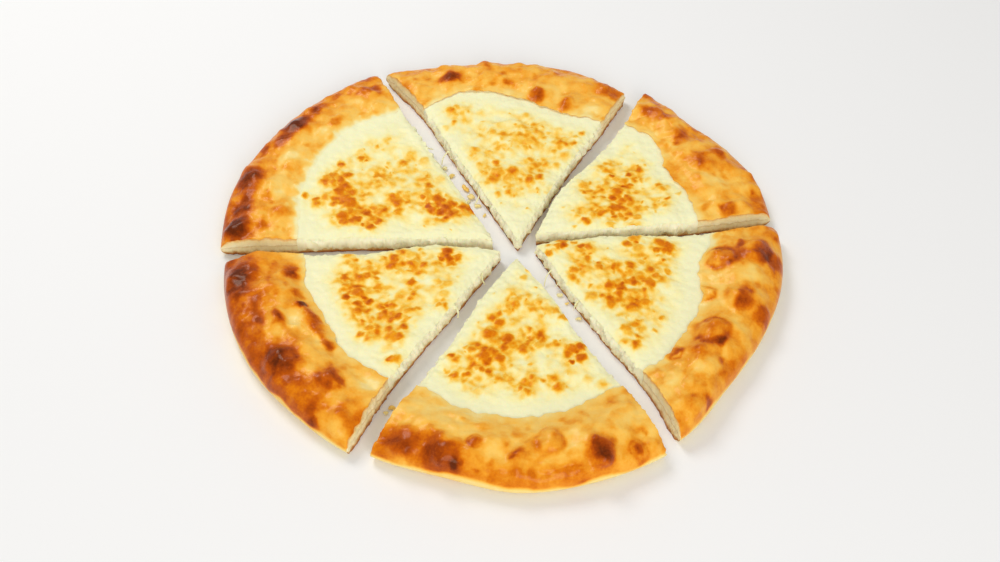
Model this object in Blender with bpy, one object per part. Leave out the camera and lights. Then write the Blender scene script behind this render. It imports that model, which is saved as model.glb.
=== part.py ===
"""Khachapuri: a flat round cheese bread, cut into six slices that keep its shape.

Each slice is two solids. The bread is a thin bottom crust with a puffed rim that was
folded in over the filling, and the cheese is the baked filling that fills the slice
from its tip to the rim and shows at both cuts. The rims and the cheese are as uneven
as hand-shaped dough, so every slice has its own sizes.

Metres, +Z up. The origin is on the surface that the slices lie on, at the middle of
the whole. X runs to the right and Y to the back.
"""

import math
from dataclasses import dataclass

import bmesh
import bpy
from mathutils import Vector, noise

MM = 0.001

# Driving dimensions of the whole, in millimetres
CRUST = 2.2
CHEESE_TOP = 10.8
LIP_RISE = 0.6
GAP = 0.3

# Form of the rim's section, as shares of its width and height
CREST_ACROSS = 0.52
EDGE_HEIGHT = 0.34
UNDERCUT_ACROSS = 0.86
SHOULDER_POWER = 2.3
FLANK_FROM = 0.72
LIP_BLEND = 0.2
OUTER_BLEND = 0.1
BLISTER_FALL = 1.6

# Relief of the cheese, in millimetres
CHEESE_SWELL = 0.8
CHEESE_SWELL_WIDTH = 26.0
CUT_EDGE_DROP = 0.7
CUT_EDGE_WIDTH = 4.0
RIM_BLEND = 0.15
RIM_SWELL = 0.9
RIM_SWELL_WIDTH = 15.0

# How finely the solids are faceted
TURN_STEPS = 24
RIM_ACROSS = (0.0, 0.07, 0.18, 0.32, 0.45, 0.58, 0.7, 0.81, 0.9, 0.96)
RIM_UNDER = (0.86, 0.93, 0.98)
BASE_REACH = (0.2, 0.4, 0.6, 0.8)
CHEESE_REACH = (0.1, 0.2, 0.3, 0.4, 0.5, 0.6, 0.7, 0.8, 0.9, 1.0)
MERGE = 1e-5
SMOOTH_DEGREES = 40

# Positions in the flat outline that is turned into a wedge
TIP = 0.0
INNER = 1.0
OUTER = 2.0
UNDERSIDE = 0.0
FLOOR = 0.5
TOP = 1.0


@dataclass(frozen=True)
class Blister:
    """A bubble that rose in the rim as it baked, by its direction and distance."""

    degrees: float
    radius: float
    width: float
    height: float


@dataclass(frozen=True)
class Slice:
    """One slice, with radii and rim heights at equal steps from its first to last cut.

    The tip is where the two cuts meet, the degrees are counted from +X, and the
    radii run from the tip. The bends are how far each cut strays outwards from a
    straight line, at equal steps from the tip to the rim. The blisters are placed
    from their own middle. Sizes are in millimetres.
    """

    number: int
    tip: tuple
    first_cut: float
    last_cut: float
    outer: tuple
    inner: tuple
    crest: tuple
    first_bend: tuple
    last_bend: tuple
    blister_middle: tuple
    blisters: tuple

    def degrees(self, turn):
        """Return the direction at a turn of 0 at the first cut and 1 at the last."""
        return self.first_cut + turn * (self.last_cut - self.first_cut)

    def cut_distance(self, turn, radius):
        """Return how far a point is from the nearer cut."""
        share = min(turn, 1.0 - turn)
        return radius * math.radians(share * (self.last_cut - self.first_cut))

    def straight(self, turn, radius, height):
        """Return the place of a point of this slice if its cuts were straight."""
        angle = math.radians(self.degrees(turn))
        return Vector((self.tip[0] + radius * math.cos(angle),
                       self.tip[1] + radius * math.sin(angle), height))

    def stray(self, turn, radius):
        """Return how far the bends of the cuts shift a point."""
        first = math.radians(self.first_cut)
        last = math.radians(self.last_cut)
        share = radius / smooth_value(self.outer, turn)
        at_first = (1.0 - turn) * smooth_value(self.first_bend, share)
        at_last = turn * smooth_value(self.last_bend, share)
        return Vector((at_first * math.sin(first) - at_last * math.sin(last),
                       at_last * math.cos(last) - at_first * math.cos(first), 0.0))

    def point(self, turn, radius, height):
        """Return the place of a point of this slice, in millimetres."""
        return self.straight(turn, radius, height) + self.stray(turn, radius)


SLICES = (
    Slice(number=1, tip=(-4, 4.5), first_cut=117.5, last_cut=180.5,
          outer=(156, 154, 152, 151, 147), inner=(114, 119, 116, 110, 105),
          crest=(12, 14, 15, 14, 11.8),
          first_bend=(0, 0.5, 0, 0, 1), last_bend=(0, -1, -1, 0.5, 1),
          blister_middle=(-4, 3),
          blisters=(Blister(142, 142, 9, 1.8), Blister(162, 141, 10, 1.5),
                    Blister(176, 137, 9, 2.0), Blister(135, 128, 7, 1.0),
                    Blister(122, 139, 8, 1.2), Blister(171, 117, 6, 0.8))),
    Slice(number=2, tip=(9.5, 4.5), first_cut=62, last_cut=118.5,
          outer=(138, 146, 148, 151, 160), inner=(105, 104, 114, 123, 118),
          crest=(12, 13.5, 14, 13.5, 12),
          first_bend=(0, -1, -1, 0.5, 0.5), last_bend=(0, -0.5, -1, -2, 2.5),
          blister_middle=(10, 3),
          blisters=(Blister(107, 135, 9, 1.6), Blister(102, 123, 6, 1.0),
                    Blister(84, 117, 6, 1.0), Blister(75, 110, 7, 0.8))),
    Slice(number=3, tip=(19.5, 9.5), first_cut=6, last_cut=59.5,
          outer=(130, 131, 128, 127, 134), inner=(89, 89, 89, 99, 101),
          crest=(11.8, 14, 15, 14, 12),
          first_bend=(0, 1, 2, 1.5, -1), last_bend=(0, 4, 0, -1.5, 1),
          blister_middle=(20, 6),
          blisters=(Blister(30, 109, 10, 1.6), Blister(43, 112, 7, 1.0),
                    Blister(10, 106, 7, 1.0), Blister(54, 117, 9, 1.2))),
    Slice(number=4, tip=(19.5, 1.5), first_cut=299, last_cut=364.5,
          outer=(142, 133, 131, 132, 132), inner=(103, 99, 95, 88, 95),
          crest=(17, 18, 17, 18, 14),
          first_bend=(0, 1, 0, -1.5, 2), last_bend=(0, 2.5, 0.5, -0.5, 0.5),
          blister_middle=(20, -2),
          blisters=(Blister(354, 99, 8, 1.8), Blister(356, 118, 9, 2.2),
                    Blister(339, 97, 6, 1.4), Blister(339, 113, 7, 1.8),
                    Blister(325, 108, 9, 2.4), Blister(311, 101, 6, 1.2),
                    Blister(313, 116, 9, 1.4), Blister(308, 129, 7, 1.4))),
    Slice(number=5, tip=(8.5, -8), first_cut=240.5, last_cut=300,
          outer=(143, 141, 145, 144, 143), inner=(100, 106, 109, 106, 101),
          crest=(15, 18, 17, 18, 15),
          first_bend=(0, 1, -0.5, 0.5, 0), last_bend=(0, 1.5, -0.5, 1.5, -0.5),
          blister_middle=(9, -13),
          blisters=(Blister(287, 133, 9, 2.4), Blister(245, 132, 10, 2.0),
                    Blister(255, 134, 10, 1.6), Blister(277, 120, 9, 2.0),
                    Blister(260, 121, 6, 1.0), Blister(294, 134, 6, 1.0))),
    Slice(number=6, tip=(0, -3), first_cut=182.5, last_cut=239.5,
          outer=(147, 147, 147, 146, 147), inner=(105, 105, 104, 107, 105),
          crest=(15, 19, 18, 18, 14),
          first_bend=(0, 4.5, 0, 0.5, -2), last_bend=(0, -0.5, -2, -2, 1.5),
          blister_middle=(-1, -9),
          blisters=(Blister(186, 133, 10, 1.8), Blister(186, 109, 7, 1.2),
                    Blister(203, 120, 8, 1.4), Blister(212, 102, 5, 1.2),
                    Blister(206, 101, 5, 1.0), Blister(219, 104, 5, 1.0),
                    Blister(213, 132, 10, 2.0), Blister(226, 124, 9, 1.6))),
)

CRUST_COLOUR = (0.62, 0.27, 0.05)
CHEESE_COLOUR = (0.83, 0.76, 0.46)


def smooth_value(values, turn):
    """Return a smooth curve through equally spaced values, at a turn of 0 to 1."""
    last = len(values) - 1
    place = min(max(turn, 0.0), 1.0) * last
    index = min(int(place), last - 1)
    part = place - index
    before = values[max(index - 1, 0)]
    start = values[index]
    end = values[index + 1]
    after = values[min(index + 2, last)]
    return 0.5 * (2 * start + (end - before) * part
                  + (2 * before - 5 * start + 4 * end - after) * part ** 2
                  + (3 * start - before - 3 * end + after) * part ** 3)


def ramp(value, low, high):
    """Return 0 below low, 1 above high and a smooth rise between them."""
    share = min(max((value - low) / (high - low), 0.0), 1.0)
    return share * share * (3 - 2 * share)


def swell(place, width, seed):
    """Return a gentle unevenness between about -1 and 1 at a place on the bread."""
    return 2.0 * noise.noise(Vector((place.x / width, place.y / width, seed)))


def rim_top(across, crest):
    """Return the height of the rim's upper surface at a share of its width."""
    lip = CHEESE_TOP + LIP_RISE
    if across < CREST_ACROSS:
        rise = math.sin(0.5 * math.pi * across / CREST_ACROSS)
        return lip + max(crest - lip, 0.0) * rise
    fall = (across - CREST_ACROSS) / (1.0 - CREST_ACROSS)
    shoulder = max(1.0 - fall ** SHOULDER_POWER, 0.0) ** (1.0 / SHOULDER_POWER)
    edge = EDGE_HEIGHT * crest
    return edge + (max(crest, lip) - edge) * shoulder


def rim_bottom(across, crest):
    """Return the height of the rim's underside, which curls up at the outer edge."""
    if across <= UNDERCUT_ACROSS:
        return 0.0
    curl = (across - UNDERCUT_ACROSS) / (1.0 - UNDERCUT_ACROSS)
    return EDGE_HEIGHT * crest * (1.0 - math.sqrt(max(1.0 - curl * curl, 0.0)))


def blister_rise(piece, place):
    """Return how far the blisters of a slice lift its rim at a place."""
    rise = 0.0
    for blister in piece.blisters:
        angle = math.radians(blister.degrees)
        x = piece.blister_middle[0] + blister.radius * math.cos(angle)
        y = piece.blister_middle[1] + blister.radius * math.sin(angle)
        away = math.hypot(place.x - x, place.y - y)
        rise += blister.height * math.exp(-(BLISTER_FALL * away / blister.width) ** 2)
    return rise


def bread_section(piece, reach, turn, level):
    """Return the distance from the tip and the height of one point of the bread.

    Args:
        piece: the slice.
        reach: 0 at the tip, 1 at the rim's inner edge and 2 at its outer edge.
        turn: 0 at the first cut and 1 at the last.
        level: underside, floor under the cheese, or top of the rim.
    """
    inner = smooth_value(piece.inner, turn)
    if reach < INNER or (reach == INNER and level < TOP):
        return inner * reach, CRUST if level > UNDERSIDE else 0.0
    outer = smooth_value(piece.outer, turn)
    crest = smooth_value(piece.crest, turn)
    across = reach - INNER
    radius = inner + across * (outer - inner)
    if level < TOP:
        return radius, rim_bottom(across, crest)
    height = rim_top(across, crest)
    place = piece.point(turn, radius, height)
    loose = ramp(across, 0.0, LIP_BLEND) * ramp(1.0 - across, 0.0, OUTER_BLEND)
    lift = blister_rise(piece, place) * loose
    lift += RIM_SWELL * swell(place, RIM_SWELL_WIDTH, piece.number) * loose
    outward = ramp(across, FLANK_FROM, 1.0)
    return radius + lift * outward, height + lift * math.sqrt(1.0 - outward * outward)


def cheese_section(piece, reach, turn, level):
    """Return the distance from the tip and the height of one point of the cheese."""
    radius = (smooth_value(piece.inner, turn) - GAP) * reach
    if level < TOP:
        return radius, CRUST + GAP
    place = piece.point(turn, radius, CHEESE_TOP)
    edge = 1.0 - ramp(piece.cut_distance(turn, radius), 0.0, CUT_EDGE_WIDTH)
    uneven = CHEESE_SWELL * swell(place, CHEESE_SWELL_WIDTH, 10 + piece.number)
    uneven *= ramp(1.0 - reach, 0.0, RIM_BLEND)
    return radius, CHEESE_TOP + uneven - CUT_EDGE_DROP * edge


def bread_outline():
    """Return the bread's section as reach and level, once round."""
    outline = [(reach, UNDERSIDE) for reach in (TIP, *BASE_REACH, INNER)]
    outline += [(INNER + across, UNDERSIDE) for across in RIM_UNDER]
    outline.append((OUTER, TOP))
    outline += [(INNER + across, TOP) for across in reversed(RIM_ACROSS)]
    outline += [(reach, FLOOR) for reach in (INNER, *reversed(BASE_REACH), TIP)]
    return outline


def cheese_outline():
    """Return the cheese's section as reach and level, once round."""
    outline = [(reach, UNDERSIDE) for reach in (TIP, *BASE_REACH, INNER)]
    outline += [(reach, TOP) for reach in reversed(CHEESE_REACH)]
    outline.append((TIP, TOP))
    return outline


def turned_wedge(outline):
    """Turn a flat outline about the tip by one radian and return the closed bmesh."""
    mesh = bmesh.new()
    corners = [mesh.verts.new((reach, 0.0, level)) for reach, level in outline]
    mesh.faces.new(corners)
    flat = mesh.verts[:] + mesh.edges[:] + mesh.faces[:]
    bmesh.ops.spin(mesh, geom=flat, axis=(0, 0, 1), cent=(0, 0, 0), angle=1.0,
                   steps=TURN_STEPS, use_duplicate=False)
    bmesh.ops.remove_doubles(mesh, verts=mesh.verts, dist=MERGE)
    bmesh.ops.recalc_face_normals(mesh, faces=mesh.faces)
    return mesh


def food_material(name, colour, roughness):
    """Return a plain material of one colour."""
    material = bpy.data.materials.new(name)
    material.use_nodes = True
    shader = material.node_tree.nodes["Principled BSDF"]
    shader.inputs["Base Color"].default_value = (*colour, 1.0)
    shader.inputs["Roughness"].default_value = roughness
    shader.inputs["Metallic"].default_value = 0.0
    return material


def build_solid(name, piece, outline, section, middle, material):
    """Build one closed solid of a slice from its turned outline.

    The cut faces are divided while they are flat, and the cuts are bent after that.

    Args:
        name: the object's name.
        piece: the slice that it belongs to.
        outline: its section as reach and level.
        section: function that gives a point's distance from the tip and its height.
        middle: middle of the whole, which becomes the origin, in millimetres.
        material: its material.
    """
    mesh = turned_wedge(outline)
    strays = []
    for vert in mesh.verts:
        reach = round(math.hypot(vert.co.x, vert.co.y), 5)
        turn = min(max(math.atan2(vert.co.y, vert.co.x), 0.0), 1.0)
        radius, height = section(piece, reach, turn, vert.co.z)
        vert.co = piece.straight(turn, radius, height)
        strays.append(piece.stray(turn, radius))
    mesh.normal_update()
    bmesh.ops.triangulate(mesh, faces=mesh.faces)
    for vert, stray in zip(mesh.verts, strays):
        vert.co = (vert.co + stray - middle) * MM
    bmesh.ops.recalc_face_normals(mesh, faces=mesh.faces)
    data = bpy.data.meshes.new(name)
    mesh.to_mesh(data)
    mesh.free()
    data.shade_smooth()
    data.set_sharp_from_angle(angle=math.radians(SMOOTH_DEGREES))
    data.materials.append(material)
    solid = bpy.data.objects.new(name, data)
    bpy.context.collection.objects.link(solid)


def middle_of_whole():
    """Return the middle of the box round all the rims, at the height of the base."""
    steps = [step / TURN_STEPS for step in range(TURN_STEPS + 1)]
    edge = [piece.point(turn, smooth_value(piece.outer, turn), 0.0)
            for piece in SLICES for turn in steps]
    across = [place.x for place in edge]
    depth = [place.y for place in edge]
    return Vector(((min(across) + max(across)) / 2, (min(depth) + max(depth)) / 2, 0))


def clear_scene():
    """Remove every object that the file opened with."""
    for item in list(bpy.data.objects):
        bpy.data.objects.remove(item)


def main():
    """Build the bread and the cheese of every slice."""
    clear_scene()
    baked = food_material("baked_dough", CRUST_COLOUR, 0.45)
    cheese = food_material("baked_cheese", CHEESE_COLOUR, 0.5)
    middle = middle_of_whole()
    for piece in SLICES:
        build_solid(f"slice_{piece.number}_bread", piece, bread_outline(),
                    bread_section, middle, baked)
        build_solid(f"slice_{piece.number}_cheese", piece, cheese_outline(),
                    cheese_section, middle, cheese)


main()
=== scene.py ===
"""Looks of a khachapuri: a round cheese bread, baked, cut into six slices and left whole.

Each slice has a bread piece, with the thin bottom crust and the puffed, egg-washed rim,
and a cheese piece, with the browned top and the pale cut faces. Loose threads of cheese
and crumbs lie in the gaps. Sizes are in millimetres until a mesh is placed.
"""

import logging
import math
import random
from dataclasses import dataclass
from enum import Enum, IntEnum

import bmesh
import bpy
import numpy as np
from mathutils import Matrix, Vector, noise


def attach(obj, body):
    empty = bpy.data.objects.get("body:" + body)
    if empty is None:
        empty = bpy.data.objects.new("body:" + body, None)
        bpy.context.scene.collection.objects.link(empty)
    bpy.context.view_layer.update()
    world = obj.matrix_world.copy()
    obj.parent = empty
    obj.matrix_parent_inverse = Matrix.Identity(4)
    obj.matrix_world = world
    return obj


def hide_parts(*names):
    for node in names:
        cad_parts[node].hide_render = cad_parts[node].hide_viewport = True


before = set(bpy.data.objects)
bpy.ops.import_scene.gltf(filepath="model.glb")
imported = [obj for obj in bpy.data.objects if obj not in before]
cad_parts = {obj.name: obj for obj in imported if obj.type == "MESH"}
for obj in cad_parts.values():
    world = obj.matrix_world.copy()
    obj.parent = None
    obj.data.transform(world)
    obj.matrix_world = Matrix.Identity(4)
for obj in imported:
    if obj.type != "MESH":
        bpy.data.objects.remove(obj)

LOG = logging.getLogger("khachapuri")
MM = 0.001
BODY = "root"
PHOTO_WIDTH = 1000
SENSOR_WIDTH = 36.0
TINY = 1e-6

# Sizes shared by all the slices, as in the part's source
CRUST = 2.2
CHEESE_TOP = 10.8
LIP_RISE = 0.6
LIP = CHEESE_TOP + LIP_RISE
CREST_ACROSS = 0.52
EDGE_HEIGHT = 0.34
UNDERCUT_ACROSS = 0.86
SHOULDER_POWER = 2.3
FLANK_FROM = 0.72
TURN_STEPS = 24

# Looks of the finished pieces
SHARP_DEGREES = 50
RIM_RADIUS = 125.0
PALEST_CRUST = 0.15
DEEPEST_BUBBLE = 0.58
GLOSS_TINT = "FFC878"
COAT_ROUGHNESS = 0.16


class Part(Enum):
    """The two sorts of piece that a slice has, by the end of their names."""

    BREAD = "bread"
    CHEESE = "cheese"


class BreadFace(IntEnum):
    """The faces of a bread piece that have a finish of their own."""

    CRUST = 0
    CRUMB = 1
    BASE = 2


class CheeseFace(IntEnum):
    """The faces of a cheese piece that have a finish of their own."""

    BAKED = 0
    CUT = 1


@dataclass(frozen=True)
class Mark:
    """A place on a slice, by its direction and distance from the slice's own middle."""

    degrees: float
    radius: float

    def place(self) -> tuple[float, float]:
        """Return its x and y from the slice's own middle."""
        angle = math.radians(self.degrees)
        return self.radius * math.cos(angle), self.radius * math.sin(angle)


@dataclass(frozen=True)
class Blister(Mark):
    """A bubble that rose in the rim as it baked, and how much browner its foot is."""

    width: float
    height: float
    outline: float = 0.0


@dataclass(frozen=True)
class Patch(Mark):
    """A place on the rim that browned more, or stayed paler, than what is round it. A few pale
    ones are painted highlights.
    """

    along: float
    across: float
    change: float


@dataclass(frozen=True)
class Cluster(Mark):
    """A group of small browned bubbles in the cheese."""

    spread: float
    count: int
    tone: float


@dataclass(frozen=True)
class Bubble(Mark):
    """One small bubble in the cheese, with how much paler its middle is than its ring."""

    size: float
    tone: float
    ring: float

    def is_clear_of(self, other: "Bubble", share: float) -> bool:
        """Return whether it is a share of both bubbles' sizes away from another."""
        return math.dist(self.place(), other.place()) > share * (self.size + other.size)


@dataclass(frozen=True)
class SliceForm:
    """The form and the browning of one slice.

    The radii, crest heights and lips are at equal steps from the first cut to the last.
    A lip of 1 hangs over the cheese, and one of 0 has melted into it. The bends are how
    far each cut strays outwards, from the tip to the rim. The browning tones run across
    the rim from the inner edge to the outer. The swells are broad ones in the cheese.
    """

    number: int
    tip: tuple[float, float]
    first_cut: float
    last_cut: float
    outer: tuple[float, ...]
    inner: tuple[float, ...]
    crest: tuple[float, ...]
    first_bend: tuple[float, ...]
    last_bend: tuple[float, ...]
    mark_middle: tuple[float, float]
    lip: tuple[float, ...]
    tones: tuple[float, ...]
    blisters: tuple[Blister, ...]
    patches: tuple[Patch, ...]
    clusters: tuple[Cluster, ...]
    swells: tuple[Blister, ...] = ()

    def angle(self, turn: np.ndarray) -> np.ndarray:
        """Return the direction in radians at turns of 0 to 1 across the slice."""
        return np.radians(self.first_cut + turn * (self.last_cut - self.first_cut))

    def plan(self, turn: np.ndarray, radius: np.ndarray) -> np.ndarray:
        """Return rows of x, y and 0 of points at turns and radii from the tip."""
        angle = self.angle(turn)
        first = math.radians(self.first_cut)
        last = math.radians(self.last_cut)
        share = radius / smooth_curve(self.outer, turn)
        at_first = (1.0 - turn) * smooth_curve(self.first_bend, share)
        at_last = turn * smooth_curve(self.last_bend, share)
        x = self.tip[0] + radius * np.cos(angle)
        x += at_first * math.sin(first) - at_last * math.sin(last)
        y = self.tip[1] + radius * np.sin(angle)
        y += at_last * math.cos(last) - at_first * math.cos(first)
        return np.stack([x, y, np.zeros_like(x)], axis=1)

    def away(self, places: np.ndarray, mark: Mark) -> tuple[np.ndarray, np.ndarray]:
        """Return how far points are along and across the rim from a marked place."""
        angle = math.radians(mark.degrees)
        mark_x, mark_y = mark.place()
        aside = places[:, 0] - self.mark_middle[0] - mark_x
        ahead = places[:, 1] - self.mark_middle[1] - mark_y
        along = ahead * math.cos(angle) - aside * math.sin(angle)
        across = aside * math.cos(angle) + ahead * math.sin(angle)
        return along, across

    def marked(self, turn: float, radius: float) -> tuple[float, float]:
        """Return the degrees and the radius that mark the point of a turn and radius."""
        place = self.plan(np.array([turn]), np.array([radius]))[0]
        aside = place[0] - self.mark_middle[0]
        ahead = place[1] - self.mark_middle[1]
        return math.degrees(math.atan2(ahead, aside)), math.hypot(aside, ahead)

    def cut_distance(self, turn: np.ndarray, radius: np.ndarray) -> np.ndarray:
        """Return how far points are from the nearer cut."""
        span = math.radians(self.last_cut - self.first_cut)
        return radius * np.minimum(turn, 1.0 - turn) * span


def marks(sort: type[Mark], *rows: tuple[float, ...]) -> tuple[Mark, ...]:
    """Return marks of one sort, each made from its own row of sizes."""
    return tuple(sort(*row) for row in rows)


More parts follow.
